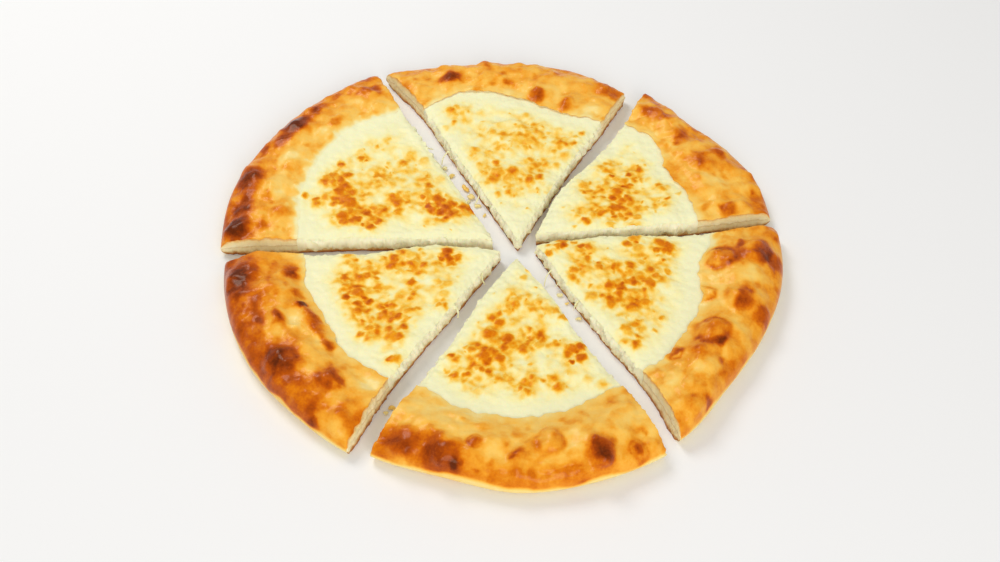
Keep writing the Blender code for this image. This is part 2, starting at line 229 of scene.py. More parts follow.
SLICES = (
    SliceForm(
        number=1, tip=(-4, 4.5), first_cut=117.5, last_cut=180.5, outer=(156, 154, 152, 151, 147),
        inner=(114, 119, 116, 110, 105), crest=(12, 14, 15, 14, 11.8),
        first_bend=(0, 0.5, 0, 0, 1), last_bend=(0, -1, -1, 0.5, 1), mark_middle=(-4, 3),
        lip=(0.05, 0, 0, 0, 0.2), tones=(0.27, 0.33, 0.42, 0.6),
        blisters=marks(
            Blister, (142, 142, 9, 1.8), (162, 141, 10, 1.5), (176, 137, 9, 2.0),
            (135, 128, 7, 1.0), (122, 139, 8, 1.2), (171, 117, 6, 0.8)),
        patches=marks(
            Patch, (142, 143, 11, 6, 0.55), (134, 145, 9, 4, 0.3), (148, 141, 8, 5, 0.3),
            (163, 141, 12, 9, 0.36), (170, 139, 9, 7, 0.32), (177, 137, 10, 9, 0.54),
            (121, 140, 8, 5, 0.3), (135, 128, 5, 3, 0.28), (138, 120, 11, 3.5, 0.26),
            (156, 121, 7, 4, 0.2), (171, 117, 5, 7, 0.26), (176, 124, 4, 4, 0.24),
            (181, 108, 4, 3, 0.18), (152, 131, 7, 5, -0.16), (141, 129, 7, 4, -0.14),
            (156, 119, 6, 4, -0.1)),
        clusters=marks(
            Cluster, (139, 96, 3, 3, 0.74), (149, 100, 5, 6, 0.66), (154, 102, 4, 5, 0.66),
            (162, 102, 4, 5, 0.6), (160, 86, 8, 10, 0.74), (168, 78, 6, 8, 0.8),
            (170, 69, 4, 4, 0.7), (160, 63, 6, 6, 0.64), (150, 59, 5, 5, 0.55),
            (139, 35, 5, 12, 0.84), (125, 27, 5, 5, 0.7), (136, 48, 4, 4, 0.62),
            (125, 78, 6, 5, 0.5), (128, 57, 6, 5, 0.5), (139, 71, 5, 4, 0.45),
            (148, 75, 5, 4, 0.5))),
    SliceForm(
        number=2, tip=(9.5, 4.5), first_cut=62, last_cut=118.5, outer=(138, 146, 148, 151, 160),
        inner=(105, 104, 114, 123, 118), crest=(12, 13.5, 14, 13.5, 12),
        first_bend=(0, -1, -1, 0.5, 0.5), last_bend=(0, -0.5, -1, -2, 2.5), mark_middle=(10, 3),
        lip=(0.3, 0.8, 1, 0.7, 0.3), tones=(0.3, 0.34, 0.4, 0.5),
        blisters=marks(
            Blister, (107, 135, 9, 1.6), (102, 123, 6, 1.0), (84, 117, 6, 1.0),
            (75, 110, 7, 0.8)),
        patches=marks(
            Patch, (107, 136, 8, 5, 0.52), (102, 122, 5, 4, 0.4), (84, 115, 6, 5, 0.38),
            (75, 108, 6, 6, 0.26), (64, 105, 5, 6, 0.22), (117, 119, 6, 5, 0.22),
            (66, 131, 10, 6, 0.2), (119, 139, 6, 7, 0.24), (92, 126, 10, 4, 0.1)),
        clusters=marks(
            Cluster, (110, 112, 4, 4, 0.55), (107, 107, 4, 3, 0.44), (113, 101, 3, 3, 0.51),
            (86, 95, 3, 3, 0.44), (82, 92, 3, 3, 0.44), (97, 82, 5, 5, 0.53),
            (89, 76, 5, 4, 0.49), (85, 81, 4, 4, 0.46), (68, 87, 3, 3, 0.53),
            (70, 77, 6, 7, 0.55), (109, 72, 5, 4, 0.44), (111, 59, 4, 4, 0.44),
            (101, 52, 6, 6, 0.55), (100, 38, 4, 4, 0.55), (77, 59, 5, 6, 0.46),
            (81, 46, 5, 5, 0.53), (68, 40, 3, 3, 0.4), (109, 48, 3, 3, 0.35)),
        swells=marks(
            Blister, (94, 85, 13, 1.6))),
    SliceForm(
        number=3, tip=(19.5, 9.5), first_cut=6, last_cut=59.5, outer=(130, 131, 128, 127, 134),
        inner=(89, 89, 89, 99, 101), crest=(11.8, 14, 15, 14, 12), first_bend=(0, 1, 2, 1.5, -1),
        last_bend=(0, 4, 0, -1.5, 1), mark_middle=(20, 6), lip=(0.3, 0.8, 0.9, 0.6, 0.5),
        tones=(0.36, 0.3, 0.39, 0.54),
        blisters=marks(
            Blister, (30, 109, 10, 1.6), (43, 112, 7, 1.0), (10, 106, 7, 1.0), (54, 117, 9, 1.2)),
        patches=marks(
            Patch, (54, 118, 12, 6, 0.32), (54, 102, 6, 4, 0.2), (42, 112, 9, 6, 0.28),
            (30, 107, 11, 8, 0.28), (31, 119, 9, 5, 0.34), (10, 106, 6, 5, 0.4),
            (13, 95, 3, 3, 0.22), (12, 121, 9, 7, 0.2), (26, 90, 9, 3, 0.18),
            (46, 100, 9, 3, 0.16), (20, 108, 6, 8, -0.08)),
        clusters=marks(
            Cluster, (43, 79, 3, 3, 0.62), (55, 66, 4, 4, 0.5), (40, 65, 4, 6, 0.8),
            (53, 46, 4, 4, 0.52), (44, 49, 4, 5, 0.62), (30, 53, 6, 9, 0.76), (27, 77, 3, 4, 0.6),
            (20, 76, 4, 4, 0.56), (25, 38, 5, 6, 0.56), (17, 51, 6, 8, 0.62),
            (19, 59, 4, 4, 0.56), (40, 25, 3, 3, 0.45))),
    SliceForm(
        number=4, tip=(19.5, 1.5), first_cut=299, last_cut=364.5, outer=(142, 133, 131, 132, 132),
        inner=(103, 99, 95, 88, 95), crest=(17, 18, 17, 18, 14), first_bend=(0, 1, 0, -1.5, 2),
        last_bend=(0, 2.5, 0.5, -0.5, 0.5), mark_middle=(20, -2), lip=(0.4, 0.8, 0.6, 0.5, 0.1),
        tones=(0.3, 0.34, 0.4, 0.5),
        blisters=marks(
            Blister, (353, 97, 9, 2.0, 0.2), (356, 115, 10, 2.4, 0.12), (338, 93, 6, 1.6, 0.2),
            (338, 110, 8, 1.8, 0.1), (324, 107, 10, 2.6, 0.22), (312, 100, 5, 1.6, 0.2),
            (314, 117, 10, 1.4, 0.06), (303, 131, 8, 1.0)),
        patches=marks(
            # The pale patches at 350 degrees, 121 mm and at 297 degrees, 130 mm are painted
            # highlights.
            Patch, (356, 93, 6, 6, 0.13), (359, 108, 4, 3, 0.34), (355, 119, 10, 6, 0.29),
            (353, 127, 8, 5, 0.28), (353, 103, 11, 9, 0.17), (347, 113, 6, 5, -0.12),
            (343, 94, 5, 4, -0.1), (350, 121, 4, 3, -0.12), (338, 112, 9, 4, 0.34),
            (337, 92, 4, 5, 0.2), (336, 124, 6, 5, 0.24), (322, 114, 4, 3.5, 0.36),
            (325, 105, 8, 7, 0.16), (312, 100, 4, 3, 0.42), (316, 110, 8, 8, 0.18),
            (315, 122, 5, 5, -0.08), (308, 133, 4, 4, 0.28), (297, 130, 5, 5, -0.12),
            (330, 117, 6, 6, -0.1)),
        clusters=marks(
            Cluster, (353, 8, 4, 6, 0.84), (378, 21, 4, 4, 0.6), (363, 52, 4, 5, 0.68),
            (360, 66, 5, 6, 0.75), (355, 28, 4, 4, 0.5), (340, 38, 4, 4, 0.6),
            (332, 28, 4, 4, 0.56), (349, 57, 4, 5, 0.64), (315, 30, 4, 4, 0.58),
            (344, 67, 4, 4, 0.52), (317, 50, 5, 7, 0.68), (326, 54, 5, 6, 0.7),
            (334, 62, 4, 5, 0.7), (322, 64, 4, 5, 0.7), (324, 76, 4, 3, 0.5),
            (309, 74, 4, 4, 0.6), (305, 80, 4, 4, 0.6))),
    SliceForm(
        number=5, tip=(8.5, -8), first_cut=240.5, last_cut=300, outer=(143, 141, 145, 144, 143),
        inner=(100, 106, 109, 106, 101), crest=(15, 18, 17, 18, 15),
        first_bend=(0, 1, -0.5, 0.5, 0), last_bend=(0, 1.5, -0.5, 1.5, -0.5),
        mark_middle=(9, -13), lip=(0.6, 0.5, 0.7, 0.7, 0.8), tones=(0.28, 0.31, 0.37, 0.51),
        blisters=marks(
            Blister, (287, 130, 8, 2.4, 0.1), (245, 130, 10, 1.8), (254, 129, 9, 1.6, 0.06),
            (277, 121, 8, 1.8, 0.16), (260, 122, 4.5, 1.2, 0.16), (295, 134, 5, 1.0, 0.12),
            (266, 122, 6, 1.0)),
        patches=marks(
            Patch, (287, 130, 6, 6, 0.52), (244, 130, 11, 8, 0.28), (255, 132, 12, 7, 0.32),
            (251, 125, 9, 6, 0.16), (260, 122, 3.5, 3, 0.26), (279, 122, 4, 5, 0.2),
            (274, 123, 3, 5, 0.16), (295, 134, 3.5, 3, 0.28), (301, 102, 5, 3, 0.24),
            (271, 137, 22, 5, 0.05), (247, 106, 7, 5, -0.05), (264, 130, 5, 5, -0.06),
            (246, 139, 8, 3, -0.22)),
        clusters=marks(
            Cluster, (267, 29, 4, 4, 0.56), (286, 32, 4, 4, 0.5), (296, 38, 4, 4, 0.56),
            (254, 42, 4, 4, 0.62), (274, 48, 4, 4, 0.52), (265, 56, 6, 9, 0.74),
            (282, 55, 4, 5, 0.62), (252, 63, 4, 5, 0.72), (258, 66, 4, 5, 0.66),
            (255, 72, 4, 4, 0.76), (245, 73, 4, 4, 0.68), (296, 70, 4, 6, 0.84),
            (251, 81, 4, 4, 0.6), (262, 79, 4, 4, 0.52), (274, 76, 4, 3, 0.5),
            (281, 81, 5, 4, 0.55), (270, 87, 4, 4, 0.5), (255, 90, 4, 3, 0.45),
            (294, 86, 4, 3, 0.45), (281, 8, 4, 3, 0.5))),
    SliceForm(
        number=6, tip=(0, -3), first_cut=182.5, last_cut=239.5, outer=(147, 147, 147, 146, 147),
        inner=(105, 105, 104, 107, 105), crest=(15, 19, 18, 18, 14),
        first_bend=(0, 4.5, 0, 0.5, -2), last_bend=(0, -0.5, -2, -2, 1.5), mark_middle=(-1, -9),
        lip=(0.4, 0.6, 1, 0.8, 1), tones=(0.32, 0.39, 0.56, 0.74),
        blisters=marks(
            Blister, (187, 134, 10, 1.6), (187, 109, 6, 1.2, 0.1), (203, 121, 7, 1.2),
            (200.5, 108, 4.5, 2.2), (203.5, 106.5, 4.5, 2.2), (206.5, 105.5, 4.5, 2.2),
            (209.5, 105.5, 4.5, 2.0), (212.5, 106, 4.5, 1.8), (216, 106, 4.5, 1.4),
            (205, 115, 5, -1.6), (210, 115, 5, -1.4), (215, 131, 10, 2.0, 0.06),
            (227, 119, 7, 1.4, 0.08), (235, 134, 8, 1.2)),
        patches=marks(
            Patch, (189, 135, 13, 6, 0.28), (184, 130, 6, 5, 0.14), (192, 124, 16, 12, 0.07),
            (187, 109, 6, 4, 0.34), (190, 108, 6, 4, 0.16), (196, 106, 4, 3, 0.26),
            (204, 121, 8, 3, 0.38), (201, 130, 9, 4, 0.24), (201, 108, 3, 3, 0.55),
            (208, 105.5, 12, 3.2, 0.34), (216, 106, 6, 3, 0.3), (206, 115, 6, 4, -0.22),
            (207, 126, 9, 5, -0.22), (215, 132, 10, 6, 0.28), (215, 124, 6, 3, 0.2),
            (221, 125, 8, 6, -0.18), (228, 117, 6, 4, 0.3), (226, 123, 6, 4, 0.2),
            (222, 130, 7, 4, 0.16), (235, 139, 14, 8, -0.3), (233, 107, 8, 5, -0.26),
            (231, 126, 5, 7, -0.12), (231, 142, 6, 3, 0.2)),
        clusters=marks(
            Cluster, (183, 78, 5, 5, 0.66), (187, 68, 4, 4, 0.56), (186, 57, 4, 5, 0.64),
            (179, 49, 5, 4, 0.56), (174, 42, 4, 3, 0.5), (192, 42, 4, 4, 0.64),
            (182, 26, 4, 7, 0.86), (193, 70, 4, 5, 0.7), (194, 81, 4, 4, 0.66),
            (202, 77, 5, 8, 0.84), (209, 71, 5, 5, 0.7), (210, 53, 4, 4, 0.68),
            (226, 43, 4, 4, 0.56), (217, 34, 4, 3, 0.5), (217, 69, 4, 5, 0.66),
            (214, 79, 4, 4, 0.6), (222, 61, 4, 4, 0.56), (219, 81, 4, 4, 0.66),
            (227, 75, 4, 6, 0.72), (234, 85, 4, 4, 0.62))),
)


def smooth_curve(values: tuple[float, ...], turn: np.ndarray) -> np.ndarray:
    """Return a smooth curve through equally spaced values.

    Args:
        values: the values, at turns from 0 to 1.
        turn: where to read the curve.

    Returns:
        The curve's values at the turns.
    """
    known = np.array(values, float)
    last = len(known) - 1
    place = np.clip(turn, 0.0, 1.0) * last
    index = np.minimum(place.astype(int), last - 1)
    part = place - index
    before = known[np.maximum(index - 1, 0)]
    start = known[index]
    end = known[index + 1]
    after = known[np.minimum(index + 2, last)]
    return 0.5 * (2 * start + (end - before) * part
                  + (2 * before - 5 * start + 4 * end - after) * part ** 2
                  + (3 * start - before - 3 * end + after) * part ** 3)


def ramp(value: np.ndarray, low: float, high: float) -> np.ndarray:
    """Return 0 below low, 1 above high and a smooth rise between them."""
    share = np.clip((value - low) / (high - low), 0.0, 1.0)
    return share * share * (3 - 2 * share)


def unevenness(places: np.ndarray, width: float, seed: float) -> np.ndarray:
    """Return a smooth random field of about -1 to 1.

    Args:
        places: rows of x, y and z in millimetres.
        width: width of its swells in millimetres.
        seed: what tells one field from another.
    """
    scaled = places / width
    scaled[:, 2] += seed
    return 2.0 * np.array([noise.noise(place) for place in scaled.tolist()])


def wandered(places: np.ndarray, width: float, reach: float, seed: float) -> np.ndarray:
    """Return points moved about on the ground, so that what is laid on them wanders.

    Args:
        places: rows of x, y and z in millimetres.
        width: width of the swells in millimetres.
        reach: how far the points move.
        seed: what tells one field from another.
    """
    moved = places.copy()
    moved[:, 0] += reach * unevenness(places, width, seed)
    moved[:, 1] += reach * unevenness(places, width, seed + 100)
    return moved


def linear_colour(code: str) -> tuple[float, float, float, float]:
    """Return the linear colour of an sRGB hex code such as F6E3A8."""
    parts = [int(code[start:start + 2], 16) / 255 for start in (0, 2, 4)]
    linear = [part / 12.92 if part <= 0.04045 else ((part + 0.055) / 1.055) ** 2.4
              for part in parts]
    return (*linear, 1.0)


def set_inputs(node: bpy.types.Node, inputs: dict) -> None:
    """Give inputs of a node their values.

    Args:
        node: the node.
        inputs: a value, or a socket to link from, for each named input.
    """
    for key, value in inputs.items():
        if isinstance(value, bpy.types.NodeSocket):
            node.id_data.links.new(value, node.inputs[key])
        else:
            node.inputs[key].default_value = value


def new_shader(name: str) -> tuple[bpy.types.Material, bpy.types.NodeTree, bpy.types.Node]:
    """Return a new material, its node tree and its shader."""
    material = bpy.data.materials.new(name)
    material.use_nodes = True
    return material, material.node_tree, material.node_tree.nodes["Principled BSDF"]


def add_node(tree: bpy.types.NodeTree, kind: str, inputs: dict | None = None,
             stops: tuple = (), **settings: object) -> bpy.types.Node:
    """Add one node with its settings and links.

    Args:
        tree: the node tree.
        kind: the node's type.
        inputs: a value, or a socket to link from, for each named input.
        stops: positions and hex colours, for a node that has a colour ramp.
        settings: the node's own settings.

    Returns:
        The new node.
    """
    node = tree.nodes.new(kind)
    for name, value in settings.items():
        setattr(node, name, value)
    set_inputs(node, inputs or {})
    for index, (position, code) in enumerate(stops):
        elements = node.color_ramp.elements
        element = elements[index] if index < 2 else elements.new(position)
        element.position = position
        element.color = linear_colour(code)
    return node


def grained(tree: bpy.types.NodeTree, place: bpy.types.NodeSocket, width_mm: float,
            height_mm: float) -> tuple[bpy.types.NodeSocket, bpy.types.NodeSocket]:
    """Return a fine noise, and the normal of a surface that it roughens.

    Args:
        tree: the material's node tree.
        place: the Object coordinates.
        width_mm: width of the grains.
        height_mm: their height.
    """
    noise_node = add_node(tree, "ShaderNodeTexNoise",
                          {"Vector": place, "Scale": 1 / (width_mm * MM), "Detail": 4.0,
                           "Roughness": 0.6})
    bump = add_node(tree, "ShaderNodeBump",
                    {"Height": noise_node.outputs["Fac"], "Strength": 1.0,
                     "Distance": height_mm * MM})
    return noise_node.outputs["Fac"], bump.outputs["Normal"]


@dataclass(frozen=True)
class BakedFinish:
    """A baked surface, whose colour follows how much heat reached each place.

    The piece's own "bake" attribute holds the browning. Two noises break it up, and a
    fine relief gives the dull grain of baked food under its gloss.
    """

    name: str
    stops: tuple[tuple[float, str], ...]
    mottle_mm: float
    mottle: float
    speck_mm: float
    speck: float
    grain_mm: float
    grain_height_mm: float
    roughness: tuple[float, float]
    specular: float
    coat: float
    subsurface: float

    def build(self) -> bpy.types.Material:
        """Return the finish as a material."""
        material, tree, shader = new_shader(self.name)
        place = add_node(tree, "ShaderNodeTexCoord").outputs["Object"]
        bake = add_node(tree, "ShaderNodeAttribute", attribute_name="bake").outputs["Fac"]
        heat = self.broken_up(tree, place, bake)
        colour = add_node(tree, "ShaderNodeValToRGB", {"Fac": heat}, stops=self.stops)
        gloss = add_node(tree, "ShaderNodeMapRange",
                         {"Value": heat, "To Min": self.roughness[0],
                          "To Max": self.roughness[1]})
        _, normal = grained(tree, place, self.grain_mm, self.grain_height_mm)
        set_inputs(shader, {
            "Base Color": colour.outputs["Color"], "Roughness": gloss.outputs["Result"],
            "Normal": normal, "Specular IOR Level": self.specular,
            "Specular Tint": linear_colour(GLOSS_TINT), "Coat Weight": self.coat,
            "Coat Roughness": COAT_ROUGHNESS, "Subsurface Weight": self.subsurface,
            "Subsurface Radius": (1.0, 0.55, 0.25), "Subsurface Scale": 2.5 * MM})
        return material

    def broken_up(self, tree: bpy.types.NodeTree, place: bpy.types.NodeSocket,
                  bake: bpy.types.NodeSocket) -> bpy.types.NodeSocket:
        """Return the browning with its mottling and specks added.

        Args:
            tree: the material's node tree.
            place: the Object coordinates.
            bake: the browning of the piece.
        """
        total = bake
        for width, amount in ((self.mottle_mm, self.mottle), (self.speck_mm, self.speck)):
            field = add_node(tree, "ShaderNodeTexNoise",
                             {"Vector": place, "Scale": 1 / (width * MM),
                              "Detail": 3.0, "Roughness": 0.55})
            centred = add_node(tree, "ShaderNodeMath",
                               {0: field.outputs["Fac"], 1: 0.5}, operation="SUBTRACT")
            more = add_node(tree, "ShaderNodeMath", {0: bake, 1: 0.25}, operation="ADD")
            local = add_node(tree, "ShaderNodeMath",
                             {0: centred.outputs[0], 1: more.outputs[0]},
                             operation="MULTIPLY")
            added = add_node(tree, "ShaderNodeMath",
                             {0: local.outputs[0], 1: amount, 2: total},
                             operation="MULTIPLY_ADD")
            total = added.outputs[0]
        return total


@dataclass(frozen=True)
class CutFinish:
    """A face that the knife opened, with the colours of its layers from the bottom up.

    The piece's own "level" attribute is 0 at the underside and 1 at the top.
    """

    name: str
    stops: tuple[tuple[float, str], ...]
    pore_mm: float
    pore_height_mm: float
    shift: float
    roughness: float
    subsurface: float

    def build(self) -> bpy.types.Material:
        """Return the finish as a material."""
        material, tree, shader = new_shader(self.name)
        place = add_node(tree, "ShaderNodeTexCoord").outputs["Object"]
        level = add_node(tree, "ShaderNodeAttribute", attribute_name="level").outputs["Fac"]
        pores, normal = grained(tree, place, self.pore_mm, self.pore_height_mm)
        centred = add_node(tree, "ShaderNodeMath", {0: pores, 1: 0.5}, operation="SUBTRACT")
        height = add_node(tree, "ShaderNodeMath",
                          {0: centred.outputs[0], 1: self.shift, 2: level},
                          operation="MULTIPLY_ADD")
        colour = add_node(tree, "ShaderNodeValToRGB", {"Fac": height.outputs[0]},
                          stops=self.stops)
        set_inputs(shader, {
            "Base Color": colour.outputs["Color"], "Roughness": self.roughness,
            "Normal": normal, "Subsurface Weight": self.subsurface,
            "Subsurface Radius": (1.0, 0.6, 0.3), "Subsurface Scale": 2.0 * MM})
        return material


# Wheat dough under egg wash: a thin gloss over matt crust, gold where thin and nearly
# black where a bubble stood proud
EGG_WASHED_CRUST = BakedFinish(
    name="egg_washed_crust",
    stops=((0.0, "F4F1C2"), (0.1, "F6E29A"), (0.2, "F8D070"), (0.33, "F9BF50"),
           (0.45, "F2A22A"), (0.58, "DE7A06"), (0.7, "C05600"), (0.85, "963A00"),
           (1.0, "622200")),
    mottle_mm=5.0, mottle=0.22, speck_mm=1.4, speck=0.2, grain_mm=1.0,
    grain_height_mm=0.14, roughness=(0.44, 0.24), specular=0.12, coat=0.18,
    subsurface=0.04)

# Melted brined cheese: smooth and slightly oily, pale where it only melted and spotted
# brown where its bubbles scorched
BAKED_CHEESE = BakedFinish(
    name="baked_brined_cheese",
    stops=((0.0, "F4F2C6"), (0.14, "F8EFB0"), (0.27, "FBE088"), (0.39, "F8C448"),
           (0.5, "EE9C14"), (0.61, "DC7606"), (0.74, "BE5402"), (1.0, "7C2C00")),
    mottle_mm=3.6, mottle=0.24, speck_mm=1.2, speck=0.2, grain_mm=1.5,
    grain_height_mm=0.22, roughness=(0.5, 0.4), specular=0.14, coat=0.05,
    subsurface=0.06)

# The underside of the dough, browned dry on a hot stone, with a little flour left on it
BAKED_BASE = BakedFinish(
    name="stone_baked_base",
    stops=((0.0, "EAD9A8"), (0.3, "DDB368"), (0.5, "B8742A"), (0.7, "8C4A12"),
           (1.0, "4A2008")),
    mottle_mm=14.0, mottle=0.9, speck_mm=2.5, speck=0.6, grain_mm=1.5,
    grain_height_mm=0.15, roughness=(0.8, 0.7), specular=0.3, coat=0.0, subsurface=0.0)

# Bread crumb at the knife cut: matt and porous, brown at the base and gold at its skin. The brown
# at the base is partly the bottom crust's own baking and partly painted shade of the narrow gaps
# between the slices, and the darker band at mid-height is painted shade in the crease where the
# dough was folded.
BREAD_CRUMB = CutFinish(
    name="cut_bread_crumb",
    stops=((0.0, "8E4A14"), (0.08, "B87430"), (0.17, "DDB878"), (0.3, "F5E4B4"),
           (0.46, "F5E4B4"), (0.52, "DFC48A"), (0.58, "F8E9BE"), (0.86, "F4DEA2"),
           (1.0, "E4A040")),
    pore_mm=2.2, pore_height_mm=0.8, shift=0.2, roughness=0.75, subsurface=0.08)

# Melted cheese at the knife cut: dense, moist and a little see-through
CUT_CHEESE = CutFinish(
    name="cut_brined_cheese",
    stops=((0.0, "EADCAC"), (0.3, "F6ECC6"), (0.8, "FBF5D2"), (1.0, "F7F4CA")),
    pore_mm=2.6, pore_height_mm=0.4, shift=0.3, roughness=0.55, subsurface=0.16)


def finished_piece(mesh: bpy.types.Mesh, fields: dict[str, np.ndarray],
                   materials: list[bpy.types.Material]) -> bpy.types.Object:
    """Return a piece of the object, named as its mesh, with what every piece has.

    Args:
        mesh: the piece's mesh, in metres.
        fields: values of the named point attributes.
        materials: the piece's finishes.
    """
    for key, values in fields.items():
        attribute = mesh.attributes.new(key, "FLOAT", "POINT")
        attribute.data.foreach_set("value", values.astype(np.float32))
    for material in materials:
        mesh.materials.append(material)
    mesh.shade_smooth()
    piece = bpy.data.objects.new(mesh.name, mesh)
    bpy.context.scene.collection.objects.link(piece)
    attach(piece, BODY)
    LOG.info("%s: %d points", piece.name, len(mesh.vertices))
    return piece


def unit_sheet(columns: int, rows: int) -> bmesh.types.BMesh:
    """Return a sheet of quads that spans 0 to 1 in x and in y."""
    sheet = bmesh.new()
    bmesh.ops.create_grid(sheet, x_segments=columns, y_segments=rows, size=0.5,
                          matrix=Matrix.Translation((0.5, 0.5, 0.0)))
    return sheet


@dataclass
class TurnedSection:
    """A flat section of quads, turned by one radian about the slice's tip.

    Every slice's piece of one sort starts from it. A point's distance from the axis is
    its reach, its angle is its turn, and its height is its level.
    """

    flat: bmesh.types.BMesh
    steps: int

    def build(self, name: str) -> bpy.types.Mesh:
        """Return the closed mesh of the turned section.

        Args:
            name: the mesh's name.
        """
        solid = self.flat
        everything = solid.verts[:] + solid.edges[:] + solid.faces[:]
        bmesh.ops.spin(solid, geom=everything, axis=(0, 0, 1), cent=(0, 0, 0),
                       angle=1.0, steps=self.steps, use_duplicate=False)
        tip = [vert for vert in solid.verts if vert.co.xy.length < 1e-5]
        bmesh.ops.remove_doubles(solid, verts=tip, dist=1e-5)
        bmesh.ops.recalc_face_normals(solid, faces=solid.faces)
        mesh = bpy.data.meshes.new(name)
        solid.to_mesh(mesh)
        solid.free()
        return mesh


@dataclass
class SlicePiece:
    """What the bread and the cheese of a slice have in common."""

    form: SliceForm
    turned: bpy.types.Mesh
    middle: tuple[float, float]

    def unit(self) -> tuple[np.ndarray, np.ndarray, np.ndarray]:
        """Return reach, turn and level of every point of the turned section."""
        places = np.empty(len(self.turned.vertices) * 3, np.float32)
        self.turned.vertices.foreach_get("co", places)
        places = places.reshape(-1, 3).astype(float)
        reach = np.round(np.hypot(places[:, 0], places[:, 1]), 4)
        turn = np.clip(np.round(np.arctan2(places[:, 1], places[:, 0]), 5), 0.0, 1.0)
        return reach, turn, np.round(places[:, 2], 4)

    def relief(self, places: np.ndarray, *layers: tuple[float, float, int]) -> np.ndarray:
        """Return the sum of several smooth random fields.

        Args:
            places: rows of x, y and z in millimetres.
            layers: the height, the width of the swells and the seed of each field.
        """
        return sum(height * unevenness(places, width, seed + self.form.number)
                   for height, width, seed in layers)

    def inner_edge(self, turn: np.ndarray) -> np.ndarray:
        """Return the radius where the rim meets the cheese, with its small waves."""
        smooth = smooth_curve(self.form.inner, turn)
        places = self.form.plan(turn, smooth)
        return smooth + self.relief(places, (0.9, 9.0, 40), (0.5, 3.5, 41))

    def lip(self, turn: np.ndarray) -> np.ndarray:
        """Return how much of a lip the rim has over the cheese, from 0 to 1."""
        return np.clip(smooth_curve(self.form.lip, turn), 0.0, 1.0)

    def seam(self, ground: np.ndarray) -> np.ndarray:
        """Return the small unevenness that the rim and the cheese share at their join."""
        return self.relief(ground, (0.22, 4.0, 12), (0.1, 1.9, 13))

    def cut_drop(self, from_cut: np.ndarray) -> np.ndarray:
        """Return how far the top falls towards a cut, where the knife pressed it down."""
        return 0.6 * np.exp(-from_cut / 1.3)

    def open_cuts(self, places: np.ndarray, turn: np.ndarray, amount: np.ndarray | float,
                  swelling: np.ndarray) -> None:
        """Make the points on the cut faces uneven, in place.

        Args:
            places: the points.
            turn: turns of the points, 0 and 1 on the cut faces.
            amount: size of the unevenness in millimetres.
            swelling: how far the face stands out as a whole, in millimetres.
        """
        on_face = (turn >= 1.0).astype(float) - (turn <= 0.0)
        rough = self.relief(places, (0.6, 4.0, 60), (0.5, 1.8, 61))
        offset = on_face * (amount * rough + swelling)
        angle = self.form.angle(turn)
        places[:, 0] -= offset * np.sin(angle)
        places[:, 1] += offset * np.cos(angle)

    def assemble(self, sort: Part, places: np.ndarray, fields: dict[str, np.ndarray],
                 faces: np.ndarray, materials: list[bpy.types.Material]) -> bpy.types.Object:
        """Return the finished piece.

        Args:
            sort: which piece of the slice it is.
            places: every point, in millimetres from the middle of the table of slices.
            fields: values of the named point attributes.
            faces: index of the material of every face.
            materials: the materials, in the order of the indices.
        """
        node = f"slice_{self.form.number}_{sort.value}"
        mesh = self.turned.copy()
        mesh.name = f"baked_{node}"
        offset = np.array([self.middle[0], self.middle[1], 0.0])
        mesh.vertices.foreach_set("co", ((places - offset) * MM).astype(np.float32).ravel())
        piece = finished_piece(mesh, fields, materials)
        mesh.polygons.foreach_set("material_index", faces.astype(np.int32))
        mesh.set_sharp_from_angle(angle=math.radians(SHARP_DEGREES))
        mesh.update()
        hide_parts(node)
        return piece

    def face_means(self, values: np.ndarray) -> np.ndarray:
        """Return the mean over each face of a value of its points."""
        mesh = self.turned
        corners = np.empty(len(mesh.loops), np.int32)
        mesh.loops.foreach_get("vertex_index", corners)
        starts = np.empty(len(mesh.polygons), np.int32)
        mesh.polygons.foreach_get("loop_start", starts)
        totals = np.add.reduceat(values[corners], starts)
        counts = np.diff(np.append(starts, len(corners)))
        return totals / counts


